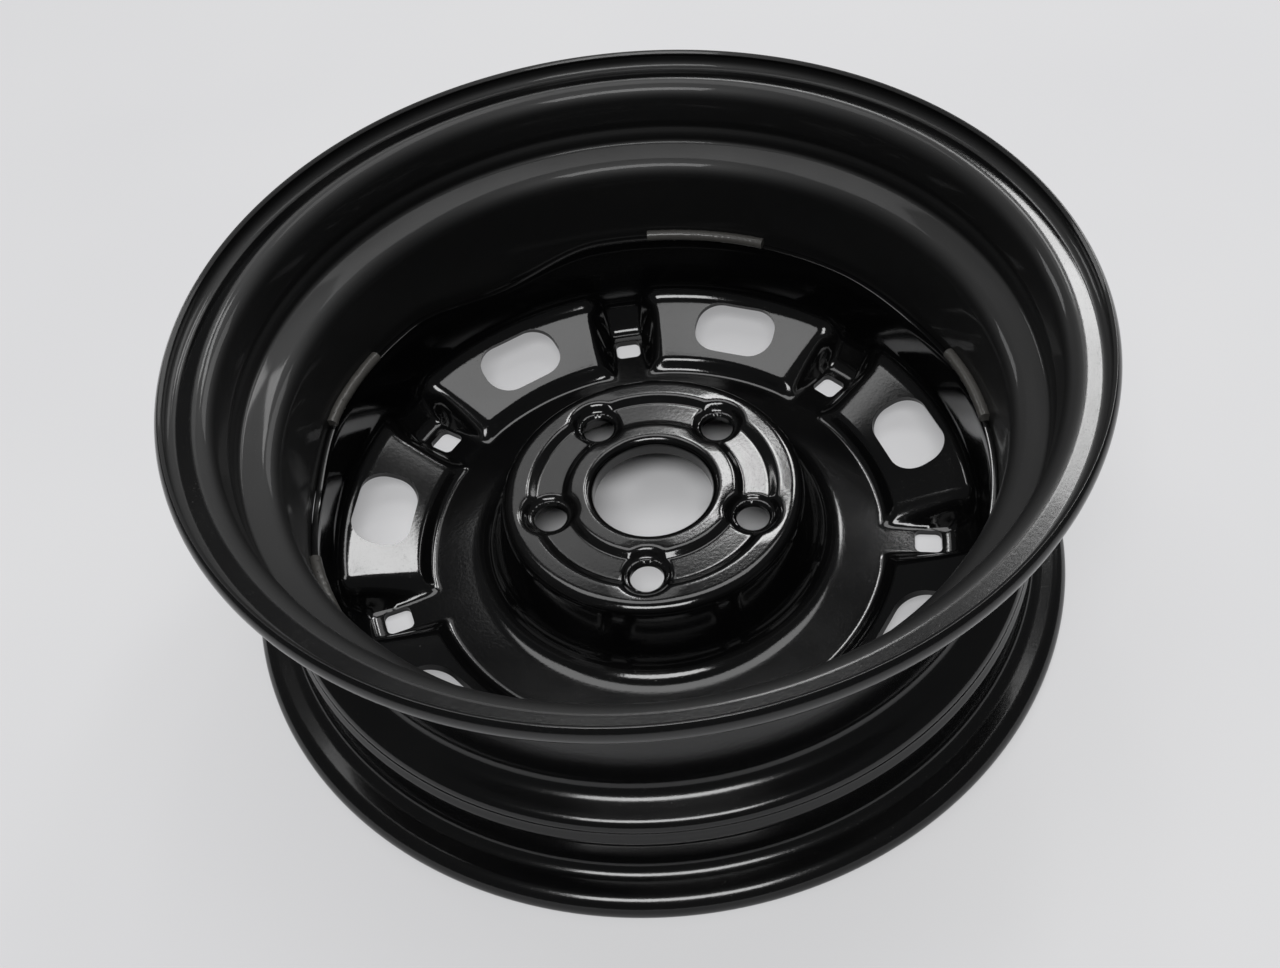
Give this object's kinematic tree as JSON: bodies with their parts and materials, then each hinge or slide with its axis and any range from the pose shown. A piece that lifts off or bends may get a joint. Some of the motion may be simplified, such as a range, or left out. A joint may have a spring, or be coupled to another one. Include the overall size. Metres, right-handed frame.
{
  "type": "steel car wheel",
  "caption": "Pressed steel car wheel in gloss black: rolled drop-centre rim with a welded-in disc, window panels, dished bolt pads and a centre bore.",
  "frame": {"origin": "on the axle axis, halfway between the two flanges of the rim", "axes": "+Z along the axle axis towards the inboard side; +Y through one bolt hole and one window"},
  "size_m": [0.3894, 0.3892, 0.1506],
  "materials": {
    "rim_paint": "gloss",
    "disc_paint": "gloss",
    "weld_paint": "gloss"
  },
  "bodies": {
    "root": {"rim": "rim_paint", "disc": "disc_paint", "weld_beads": "weld_paint"}
  },
  "joints": []
}
